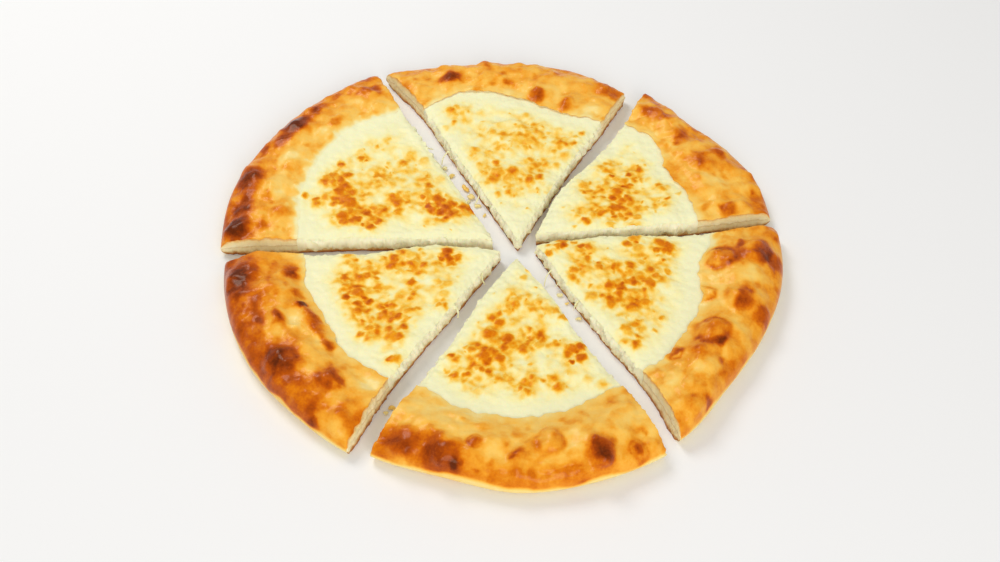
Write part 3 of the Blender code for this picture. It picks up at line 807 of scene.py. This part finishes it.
@dataclass
class BreadPiece(SlicePiece):
    """The bottom crust and the puffed rim of one slice."""

    base_columns = 40
    rim_columns = 60
    rows = 10
    floor_rows = 2
    steps = 150
    crest_column = 0.45
    blister_gain = 1.4
    wrinkle_depth = 0.25
    small_blister_count = 34
    brown_freckles = 36
    pale_freckles = 24
    overhang = 1.3
    overlap = 0.25

    @classmethod
    def section(cls) -> TurnedSection:
        """Return the flat section: a low base up to reach 1, and the rim beyond it."""
        columns = cls.base_columns + cls.rim_columns
        flat = unit_sheet(columns, cls.rows)
        floor = cls.floor_rows / cls.rows
        for vert in flat.verts:
            column = round(vert.co.x * columns)
            vert.co = (cls.column_reach(column), 0.0, round(vert.co.y, 4))
        over_base = [face for face in flat.faces
                     if face.calc_center_median().x < 1.0
                     and face.calc_center_median().z > floor]
        bmesh.ops.delete(flat, geom=over_base, context="FACES")
        return TurnedSection(flat, cls.steps)

    @classmethod
    def column_reach(cls, column: int) -> float:
        """Return the reach of a column of the section, closer together at the edge."""
        if column <= cls.base_columns:
            return column / cls.base_columns
        share = (column - cls.base_columns) / cls.rim_columns
        if share < cls.crest_column:
            return 1.0 + CREST_ACROSS * share / cls.crest_column
        swing = 0.5 * math.pi * (share - cls.crest_column) / (1.0 - cls.crest_column)
        return 1.0 + CREST_ACROSS + (1.0 - CREST_ACROSS) * math.sin(swing) ** (2 / SHOULDER_POWER)

    def rim_top(self, across: np.ndarray, crest: np.ndarray) -> np.ndarray:
        """Return the height of the rim's upper surface, before its blisters."""
        rise = np.sin(0.5 * np.pi * np.minimum(across / CREST_ACROSS, 1.0))
        inside = LIP + np.maximum(crest - LIP, 0.0) * rise
        fall = np.clip((across - CREST_ACROSS) / (1.0 - CREST_ACROSS), 0.0, 1.0)
        shoulder = (1.0 - fall ** SHOULDER_POWER) ** (1.0 / SHOULDER_POWER)
        edge = EDGE_HEIGHT * crest
        outside = edge + (np.maximum(crest, LIP) - edge) * shoulder
        return np.where(across < CREST_ACROSS, inside, outside)

    def rim_bottom(self, across: np.ndarray, crest: np.ndarray) -> np.ndarray:
        """Return the height of the rim's underside, which curls up at the outer edge."""
        curl = np.clip((across - UNDERCUT_ACROSS) / (1.0 - UNDERCUT_ACROSS), 0.0, 1.0)
        return EDGE_HEIGHT * crest * (1.0 - np.sqrt(1.0 - curl * curl))

    def blister_rise(self, ground: np.ndarray) -> tuple[np.ndarray, np.ndarray]:
        """Return how far the blisters lift the rim, and how brown their feet are."""
        form = self.form
        rise = np.zeros(len(ground))
        foot = np.zeros(len(ground))
        roamed = wandered(ground, 6.0, 0.8, 36 + form.number)
        for blister in (*form.blisters, *self.small_blisters()):
            along, across = form.away(roamed, blister)
            far = np.hypot(along, across) / blister.width
            dome = 0.5 * (1.0 - ramp(far, 0.4, 1.0)) + 0.5 * np.exp(-2.56 * far ** 2)
            rise += blister.height * dome
            foot += blister.outline * np.exp(-((far - 0.85) / 0.2) ** 2)
        return rise, foot

    def scattered(self, seed: int, count: int) -> list[tuple[Mark, float]]:
        """Return random places on the rim, each with a random share of 0 to 1.

        Args:
            seed: what tells one scattering from another.
            count: how many places.
        """
        form = self.form
        draw = random.Random(seed + form.number)
        found = []
        for _ in range(count):
            turn = draw.uniform(0.02, 0.98)
            inner = float(smooth_curve(form.inner, np.array([turn]))[0])
            outer = float(smooth_curve(form.outer, np.array([turn]))[0])
            radius = inner + (outer - inner) * draw.uniform(0.1, 0.95)
            found.append((Mark(*form.marked(turn, radius)), draw.random()))
        return found

    def small_blisters(self) -> list[Blister]:
        """Return small blisters scattered over the rim."""
        return [Blister(mark.degrees, mark.radius, 2.5 + 3.5 * share, 0.25 + 0.4 * share)
                for mark, share in self.scattered(100, self.small_blister_count)]

    def freckles(self) -> list[Patch]:
        """Return small brown and small pale spots scattered over the rim."""
        browner = [Patch(mark.degrees, mark.radius, 1.2 + 2.4 * share, 1.0 + 1.8 * share, 0.12)
                   for mark, share in self.scattered(300, self.brown_freckles)]
        paler = [Patch(mark.degrees, mark.radius, 2.0 + 4.0 * share, 1.6 + 2.4 * share, -0.06)
                 for mark, share in self.scattered(400, self.pale_freckles)]
        return browner + paler

    def wrinkles(self, ground: np.ndarray) -> np.ndarray:
        """Return 0 to 1 on the creases that run along the rim where the dough was folded."""
        form = self.form
        aside = ground[:, 0] - form.mark_middle[0]
        ahead = ground[:, 1] - form.mark_middle[1]
        radius = np.hypot(aside, ahead)
        along = np.arctan2(ahead, aside) * RIM_RADIUS
        rolled = np.stack([along / 4.2, radius, np.zeros_like(radius)], axis=1)
        crease = 1.0 - ramp(np.abs(unevenness(rolled, 4.5, 37 + form.number)), 0.0, 0.22)
        return crease * ramp(unevenness(ground, 20.0, 38 + form.number), 0.0, 0.5)

    def browning(self, turn: np.ndarray, across: np.ndarray, inward: np.ndarray,
                 ground: np.ndarray, low: np.ndarray, foot: np.ndarray,
                 lift: np.ndarray) -> np.ndarray:
        """Return how brown the rim is, from 0 to 1, with a few pale patches that are painted
        highlights.

        Args:
            turn: turns of the points.
            across: their shares of the rim's width.
            inward: their distances from the cheese.
            ground: the points on the ground, in millimetres.
            low: their heights as a share of the height of the rim's outermost line.
            foot: how much browner the blisters' feet make them.
            lift: how far the blisters lift them.
        """
        form = self.form
        roamed = wandered(ground, 7.0, 1.0, 31 + form.number)
        roamed = wandered(roamed, 2.6, 0.35, 32 + form.number)
        tone = smooth_curve(form.tones, np.clip(across, 0.0, 1.0))
        tone += self.relief(ground, (0.07, 16.0, 20))
        blotch = unevenness(roamed, 5.5, 30 + form.number)
        tone += 0.06 * ramp(blotch, 0.0, 0.6) - 0.04 * ramp(-blotch, 0.0, 0.6)
        for patch in (*form.patches, *self.freckles()):
            along, over = form.away(roamed, patch)
            far = np.hypot(along / patch.along, over / patch.across)
            tone += patch.change * (0.5 * (1.0 - ramp(far, 0.5, 1.15))
                                    + 0.5 * np.exp(-1.1 * far ** 2))
        tone += 0.04 * lift + foot + 0.03 * self.wrinkles(ground)
        tone = np.maximum(tone, PALEST_CRUST)
        ragged = 1.0 + self.relief(roamed, (0.45, 4.0, 33))
        smeared = (1.0 - self.lip(turn)) * (1.0 - ramp(inward * ragged, 0.3, 4.5))
        tone *= 1.0 - 0.95 * smeared
        brink = 1.2 + self.relief(ground, (0.35, 14.0, 44))
        pale_edge = (1.0 - ramp(low - brink, -0.3, 0.3)) * ramp(across, 0.75, 0.95)
        return np.clip(tone * (1.0 - 0.75 * pale_edge), 0.0, 1.0)

    def build(self, materials: list[bpy.types.Material]) -> bpy.types.Object:
        """Return the finished bread piece.

        Args:
            materials: the crust, the crumb and the base, in the order of BreadFace.
        """
        form = self.form
        reach, turn, level = self.unit()
        floor = self.floor_rows / self.rows
        inner = self.inner_edge(turn)
        outer = smooth_curve(form.outer, turn)
        crest = smooth_curve(form.crest, turn)
        across = np.clip(reach - 1.0, 0.0, 1.0)
        radius = np.where(reach < 1.0, inner * reach, inner + across * (outer - inner))

        bottom = self.rim_bottom(across, crest)
        top = self.rim_top(across, crest)
        ground = form.plan(turn, radius)
        inward = radius - inner
        loose = ramp(across, 0.0, 0.2) * ramp(1.0 - across, 0.0, 0.1)
        lift, foot = self.blister_rise(ground)
        swells = self.relief(ground, (1.1, 15.0, 0), (0.5, 6.5, 50), (0.16, 2.6, 51))
        free = ramp(across, -0.05, 0.06) * ramp(1.0 - across, 0.0, 0.1)
        raised = self.blister_gain * lift * free
        raised += (swells - self.wrinkle_depth * self.wrinkles(ground)) * loose
        raised += self.seam(ground) * (1.0 - loose) * (across < 0.5)
        outward = ramp(across, FLANK_FROM, 1.0)
        edge_drop = self.cut_drop(form.cut_distance(turn, radius))

        share = CRUST / LIP
        above = np.clip((level - floor) / (1.0 - floor), 0.0, 1.0)
        part = np.where(level <= floor, share * level / floor, share + (1.0 - share) * above)
        on_top = above ** 2
        height = bottom + (top - bottom) * part
        height += on_top * (raised * np.sqrt(1.0 - outward ** 2) - edge_drop)
        height = np.where(reach < 1.0, CRUST * level / floor, height)
        radius = radius + on_top * raised * outward

        lip = self.lip(turn)
        hangs = self.overhang * lip * (1.0 + self.relief(ground, (0.6, 7.0, 70)))
        lip_share = np.exp(-(across / 0.06) ** 2) * (level >= 1.0) * (reach >= 1.0)
        radius -= (np.maximum(hangs, 0.0) + self.overlap) * lip_share
        height += (0.08 + 0.3 * lip) * lip_share

        places = form.plan(turn, radius)
        places[:, 2] = height
        self.open_cuts(places, turn, 0.6, -0.5 * above ** 5)

        low = height / (EDGE_HEIGHT * crest)
        bake = self.browning(turn, across, inward, ground, low, foot, lift * free)
        under = (level <= 0.0) & (reach < 1.0 + UNDERCUT_ACROSS)
        base_tone = 0.5 + 0.12 * unevenness(places, 12.0, 80)
        bake = np.where(under, base_tone, bake)
        fields = {"bake": bake, "level": np.where(reach < 1.0, level * share / floor, part)}
        return self.assemble(Part.BREAD, places, fields, self.finishes(reach, turn, level),
                             materials)

    def finishes(self, reach: np.ndarray, turn: np.ndarray, level: np.ndarray) -> np.ndarray:
        """Return the finish of every face, as an index of BreadFace."""
        face_turn = self.face_means(turn)
        face_reach = self.face_means(reach)
        face_level = self.face_means(level)
        chosen = np.full(len(face_turn), int(BreadFace.CRUST))
        chosen[(face_level <= 0.0) & (face_reach < 1.0 + UNDERCUT_ACROSS)] = BreadFace.BASE
        wall = (face_reach < 1.0 + TINY) & (face_level > 0.0) & (face_level < 1.0)
        cut = (face_turn < TINY) | (face_turn > 1.0 - TINY)
        chosen[wall | cut] = BreadFace.CRUMB
        return chosen


@dataclass
class CheesePiece(SlicePiece):
    """The cheese filling of one slice."""

    columns = 136
    rows = 6
    steps = 144
    bubble_share = 0.8
    bubble_scatter = 0.66
    bubble_clearance = 0.5
    bubble_tries = 12
    small_bubbles = 64
    crust_overlap = 0.2
    rim_clearance = 0.02

    @classmethod
    def section(cls) -> TurnedSection:
        """Return the flat section, one quad sheet from the tip to the rim."""
        flat = unit_sheet(cls.columns, cls.rows)
        for vert in flat.verts:
            vert.co = (round(vert.co.x, 5), 0.0, round(vert.co.y, 4))
        return TurnedSection(flat, cls.steps)

    def bubbles(self) -> list[Bubble]:
        """Return the browned bubbles of every cluster, and small ones between them."""
        form = self.form
        draw = random.Random(200 + form.number)
        found = []
        for cluster in form.clusters:
            scatter = self.bubble_scatter * cluster.spread
            for _ in range(round(self.bubble_share * cluster.count)):
                size = draw.uniform(1.9, 4.2) * math.sqrt(0.25 * cluster.spread)
                tone = cluster.tone * draw.uniform(0.75, 1.1)
                ring = draw.choice((0.0, 0.0, 0.3))
                for _ in range(self.bubble_tries):
                    along = draw.gauss(0.0, scatter)
                    over = draw.gauss(0.0, scatter)
                    degrees = cluster.degrees + math.degrees(along / max(cluster.radius, 8.0))
                    bubble = Bubble(degrees, cluster.radius + over, size, tone, ring)
                    if all(bubble.is_clear_of(other, self.bubble_clearance)
                           for other in found):
                        break
                found.append(bubble)
        for _ in range(self.small_bubbles):
            turn = draw.uniform(0.12, 0.88)
            inner = float(smooth_curve(form.inner, np.array([turn]))[0])
            degrees, radius = form.marked(turn, inner * math.sqrt(draw.uniform(0.04, 0.74)))
            found.append(Bubble(degrees, radius, draw.uniform(0.9, 2.4),
                                draw.uniform(0.24, 0.5), 0.0))
        return found

    def browning(self, ground: np.ndarray) -> tuple[np.ndarray, np.ndarray, np.ndarray]:
        """Return how brown the bubbles are, their glow and how far they stand up.

        Args:
            ground: the points on the ground, in millimetres.
        """
        form = self.form
        tone = np.zeros(len(ground))
        glow = np.zeros(len(ground))
        rise = np.zeros(len(ground))
        roamed = wandered(ground, 3.4, 0.75, 90 + form.number)
        roamed = wandered(roamed, 1.6, 0.22, 95 + form.number)
        for bubble in self.bubbles():
            along, over = form.away(roamed, bubble)
            apart = np.hypot(along, over)
            far = apart / bubble.size
            body = 1.0 - ramp(far, 0.0, 1.55)
            body -= bubble.ring * np.exp(-(far / 0.4) ** 2)
            tone = np.maximum(tone, bubble.tone * body) + 0.1 * bubble.tone * body
            glow += 0.6 * bubble.tone * np.exp(-(apart / (bubble.size + 2.6)) ** 2)
            rise = np.maximum(rise, 0.24 * bubble.size * np.exp(-(far ** 2)))
        tone -= 0.5 * np.maximum(tone - DEEPEST_BUBBLE, 0.0)
        return tone, 1.0 - np.exp(-glow), rise

    def build(self, materials: list[bpy.types.Material]) -> bpy.types.Object:
        """Return the finished cheese piece.

        Args:
            materials: the baked top and the cut face, in the order of CheeseFace.
        """
        form = self.form
        reach, turn, level = self.unit()
        inner = self.inner_edge(turn)
        radius = (inner - self.rim_clearance) * reach
        ground = form.plan(turn, radius)
        tone, glow, bubble = self.browning(ground)
        from_cut = form.cut_distance(turn, radius)
        inside = ramp(inner - radius, 0.0, 16.0)
        border = 1.0 - ramp(inner - radius, 0.0, 6.0)
        swells = inside * self.relief(ground, (0.8, 26.0, 10), (0.4, 9.0, 11), (0.16, 3.0, 15))
        swells += self.relief(ground, (0.4, 2.2, 17)) * np.exp(-from_cut / 3.0)
        top = CHEESE_TOP + swells + self.seam(ground) + bubble
        slid = wandered(ground, 9.0, 1.8, 97 + form.number)
        for swell in form.swells:
            along, across = form.away(slid, swell)
            top += swell.height * (1.0 - ramp(np.hypot(along, across) / swell.width, 0.6, 1.0))
        top -= self.cut_drop(from_cut)
        top -= 0.7 * (1.0 - ramp(from_cut, 0.0, 4.0)) * (1.0 - border)
        top -= 1.0 * np.exp(-(radius / 5.0) ** 2)
        top += border * (LIP_RISE + 0.14 - 1.04 * self.lip(turn))
        bottom = CRUST - self.crust_overlap
        height = bottom + (top - bottom) * level

        places = ground.copy()
        places[:, 2] = height
        swelling = 0.5 * np.sin(np.pi * level) * (1.0 - border) - 0.8 * level ** 5
        self.open_cuts(places, turn, 0.4 + 0.9 * (1.0 - border), swelling)

        middle_warmth = ramp(from_cut, 2.0, 14.0) * ramp(inner - radius, 4.0, 20.0)
        warmth = 0.02 + 0.1 * middle_warmth
        warmth += self.relief(ground, (0.1, 6.0, 14)) * middle_warmth
        streaky = 0.85 + self.relief(ground, (0.5, 3.2, 16))
        halo = 0.44 * glow * np.clip(streaky, 0.4, 1.3)
        bake = np.maximum(tone, warmth + halo)
        fields = {"bake": np.clip(bake, 0.0, 1.0), "level": level}
        face_turn = self.face_means(turn)
        face_level = self.face_means(level)
        chosen = np.full(len(face_turn), int(CheeseFace.CUT))
        between = (face_turn > TINY) & (face_turn < 1.0 - TINY)
        chosen[between & (face_level >= 1.0 - TINY)] = CheeseFace.BAKED
        return self.assemble(Part.CHEESE, places, fields, chosen, materials)


@dataclass(frozen=True)
class Thread:
    """A thread of cheese that the knife drew out from a cut.

    It runs from one point to another, in millimetres from the middle of the slices'
    table, and bows out sideways on its way.
    """

    start: tuple[float, float, float]
    end: tuple[float, float, float]
    width: float
    bow: float


@dataclass(frozen=True)
class Crumb:
    """A bit of crust or cheese that lies in a gap."""

    place: tuple[float, float]
    size: float
    bake: float


THREADS = (
    Thread((28.9, -15.0, 8.6), (23.4, -21.6, 0.6), 0.8, 1.6),
    Thread((31.4, -19.1, 8.2), (29.4, -22.8, 2.0), 0.8, -0.9),
    Thread((41.5, -37.0, 8.2), (38.4, -39.8, 2.6), 0.9, 0.8),
    Thread((-29.2, 76.0, 7.4), (-33.4, 71.4, 0.8), 0.9, 1.4),
    Thread((-43.8, 80.4, 8.0), (-38.6, 81.4, 3.6), 0.8, 1.0),
    Thread((-12.0, 45.6, 7.8), (-14.4, 38.8, 0.8), 0.9, -1.2),
    Thread((-9.4, -19.0, 9.2), (-8.0, -22.9, 3.6), 1.0, 0.7),
    Thread((-23.2, -42.3, 9.2), (-21.8, -46.4, 4.4), 1.0, -0.7),
    Thread((43.0, 49.4, 8.6), (37.8, 47.2, 2.4), 0.9, 1.0),
)
CRUMBS = (
    Crumb((-31.6, 68.6), 2.4, 0.05), Crumb((-27.6, 62.4), 2.6, 0.16),
    Crumb((-19.6, 52.2), 3.6, 0.24), Crumb((-16.4, 45.4), 3.4, 0.14),
    Crumb((-17.6, 42.2), 2.2, 0.05), Crumb((-12.4, 38.4), 2.6, 0.1),
    Crumb((-8.6, 31.2), 1.8, 0.16), Crumb((31.8, 40.6), 2.2, 0.06),
    Crumb((35.8, 48.2), 1.8, 0.14), Crumb((41.2, 58.2), 2.4, 0.2),
    Crumb((31.4, -27.6), 2.2, 0.05), Crumb((35.2, -33.4), 1.8, 0.16),
    Crumb((41.0, -43.8), 2.4, 0.08), Crumb((-53.6, -101.4), 2.6, 0.2),
    Crumb((-56.2, -104.4), 1.8, 0.1),
)


@dataclass
class Leavings:
    """The cheese threads and the crumbs that the knife left in the gaps."""

    middle: tuple[float, float]
    rings: int = 14
    segments: int = 8
    thread_bake: float = 0.05
    crumb_stretch: tuple[float, float, float] = (1.35, 0.8, 0.6)

    def finished(self, name: str, parts: bmesh.types.BMesh, bakes: list[float],
                 material: bpy.types.Material) -> bpy.types.Object:
        """Return a piece made of all the parts, placed in metres.

        Args:
            name: the piece's name.
            parts: the parts, in millimetres.
            bakes: how brown each vertex is.
            material: its finish.
        """
        offset = Vector((-self.middle[0], -self.middle[1], 0.0))
        bmesh.ops.translate(parts, verts=parts.verts, vec=offset)
        bmesh.ops.scale(parts, verts=parts.verts, vec=(MM, MM, MM))
        mesh = bpy.data.meshes.new(name)
        parts.to_mesh(mesh)
        parts.free()
        piece = finished_piece(mesh, {"bake": np.array(bakes)}, [material])
        return piece

    def threads(self, material: bpy.types.Material) -> bpy.types.Object:
        """Return the cheese threads as one piece."""
        parts = bmesh.new()
        for thread in THREADS:
            before = len(parts.verts)
            rod = bmesh.ops.create_cone(parts, cap_ends=True, segments=self.segments,
                                        radius1=0.5, radius2=0.5, depth=1.0,
                                        matrix=Matrix.Translation((0.0, 0.0, 0.5)))
            sides = {edge for vert in rod["verts"] for edge in vert.link_edges
                     if abs(edge.verts[0].co.z - edge.verts[1].co.z) > 0.5}
            bmesh.ops.subdivide_edges(parts, edges=list(sides), cuts=self.rings,
                                      use_grid_fill=True)
            self.bend(thread, list(parts.verts)[before:])
        return self.finished("cheese_threads", parts,
                             [self.thread_bake] * len(parts.verts), material)

    def bend(self, thread: Thread, verts: list[bmesh.types.BMVert]) -> None:
        """Lay an upright rod of unit length along a thread's path.

        Args:
            thread: the thread.
            verts: the rod's vertices.
        """
        start, end = Vector(thread.start), Vector(thread.end)
        aside = (end - start).cross(Vector((0.0, 0.0, 1.0))).normalized()
        above = aside.cross(end - start).normalized()
        for vert in verts:
            along = vert.co.z
            uneven = noise.noise(Vector((start.x, start.y, 4.0 * along)))
            width = thread.width * (1.15 - 0.5 * along + 0.5 * uneven)
            centre = start.lerp(end, along)
            centre += aside * thread.bow * math.sin(math.pi * along)
            centre += above * 0.6 * uneven * math.sin(math.pi * along)
            vert.co = centre + (aside * vert.co.x + above * vert.co.y) * width

    def crumbs(self, material: bpy.types.Material) -> bpy.types.Object:
        """Return the crumbs as one piece."""
        parts = bmesh.new()
        bakes = []
        for crumb in CRUMBS:
            ball = bmesh.ops.create_icosphere(parts, subdivisions=3, radius=0.5)["verts"]
            for vert in ball:
                lump = noise.noise(vert.co * 1.7 + Vector((*crumb.place, 0.0)))
                vert.co *= crumb.size * (1.0 + 0.9 * lump)
            bmesh.ops.scale(parts, verts=ball, vec=self.crumb_stretch)
            bmesh.ops.rotate(parts, verts=ball, cent=(0.0, 0.0, 0.0),
                             matrix=Matrix.Rotation(crumb.place[0], 3, "Z"))
            lowest = min(vert.co.z for vert in ball)
            bmesh.ops.translate(parts, verts=ball, vec=(*crumb.place, -lowest))
            bakes += [crumb.bake] * len(ball)
        return self.finished("loose_crumbs", parts, bakes, material)


@dataclass
class Studio:
    """The pale floor, the soft light and the camera.

    Its distances are in millimetres, but for the floor's half side, which is in metres.
    """

    middle: tuple[float, float]
    distance: float = 760.0
    elevation: float = 48.45
    focal_pixels: float = 1424.4
    aim: tuple[float, float] = (-0.05, -16.97)
    floor_size: float = 4.0
    floor_drop: float = 0.2
    surround: float = 0.52

    def build(self) -> None:
        """Make the floor, the lights, the world and the camera."""
        self.floor()
        self.world()
        self.light("window", (-0.5, 0.6, 1.0), 0.5, 6.0)
        self.light("front_fill", (0.25, -1.4, 0.75), 0.9, 12.0)
        self.camera()
        bpy.context.scene.view_settings.view_transform = "Standard"

    def floor(self) -> None:
        """Make a plain pale floor under the slices."""
        sheet = bmesh.new()
        bmesh.ops.create_grid(sheet, x_segments=1, y_segments=1, size=self.floor_size)
        mesh = bpy.data.meshes.new("pale_floor")
        sheet.to_mesh(mesh)
        sheet.free()
        material, _, shader = new_shader("matt_white_paint")
        set_inputs(shader, {"Base Color": linear_colour("F4F3F1"), "Roughness": 0.8})
        mesh.materials.append(material)
        floor = bpy.data.objects.new("pale_floor", mesh)
        floor.location.z = -self.floor_drop * MM
        bpy.context.scene.collection.objects.link(floor)

    def world(self) -> None:
        """Surround the scene with even white light."""
        world = bpy.data.worlds.new("soft_white")
        world.use_nodes = True
        set_inputs(world.node_tree.nodes["Background"],
                   {"Color": (1.0, 1.0, 1.0, 1.0), "Strength": self.surround})
        bpy.context.scene.world = world

    def light(self, name: str, place: tuple[float, float, float], size: float,
              power: float) -> None:
        """Add a large soft light that points at the middle.

        Args:
            name: its name.
            place: where it hangs, in metres.
            size: its side, in metres.
            power: its power, in watts.
        """
        lamp = bpy.data.lights.new(name, "AREA")
        lamp.size = size
        lamp.energy = power
        item = bpy.data.objects.new(name, lamp)
        item.location = place
        item.rotation_euler = (-Vector(place)).to_track_quat("-Z", "Y").to_euler()
        bpy.context.scene.collection.objects.link(item)

    def camera(self) -> None:
        """Place the camera where the photograph was taken from."""
        lens = bpy.data.cameras.new("camera")
        lens.sensor_width = SENSOR_WIDTH
        lens.lens = self.focal_pixels / PHOTO_WIDTH * SENSOR_WIDTH
        item = bpy.data.objects.new("camera", lens)
        tilt = math.radians(self.elevation)
        aim = Vector((self.aim[0] - self.middle[0], self.aim[1] - self.middle[1], 0.0))
        away = Vector((0.0, -math.cos(tilt), math.sin(tilt))) * self.distance
        item.location = (aim + away) * MM
        item.rotation_euler = (-away).to_track_quat("-Z", "Y").to_euler()
        bpy.context.scene.collection.objects.link(item)
        bpy.context.scene.camera = item


def middle_of_slices() -> tuple[float, float]:
    """Return the middle of the box round all the rims, as the part's source takes it."""
    turns = np.linspace(0.0, 1.0, TURN_STEPS + 1)
    edges = [form.plan(turns, smooth_curve(form.outer, turns)) for form in SLICES]
    edge = np.concatenate(edges)
    middle = (edge.min(axis=0) + edge.max(axis=0)) / 2
    return float(middle[0]), float(middle[1])


def main() -> None:
    """Build the bread and the cheese of every slice, and the studio."""
    logging.basicConfig(level=logging.INFO, format="%(name)s: %(message)s")
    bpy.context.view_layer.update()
    middle = middle_of_slices()
    Studio(middle).build()
    bread_finishes = [EGG_WASHED_CRUST.build(), BREAD_CRUMB.build(), BAKED_BASE.build()]
    cheese_finishes = [BAKED_CHEESE.build(), CUT_CHEESE.build()]
    bread_mesh = BreadPiece.section().build("turned_bread")
    cheese_mesh = CheesePiece.section().build("turned_cheese")
    for form in SLICES:
        BreadPiece(form, bread_mesh, middle).build(bread_finishes)
        CheesePiece(form, cheese_mesh, middle).build(cheese_finishes)
    leavings = Leavings(middle)
    leavings.threads(cheese_finishes[CheeseFace.BAKED])
    leavings.crumbs(bread_finishes[BreadFace.CRUST])


if __name__ == "__main__":
    main()
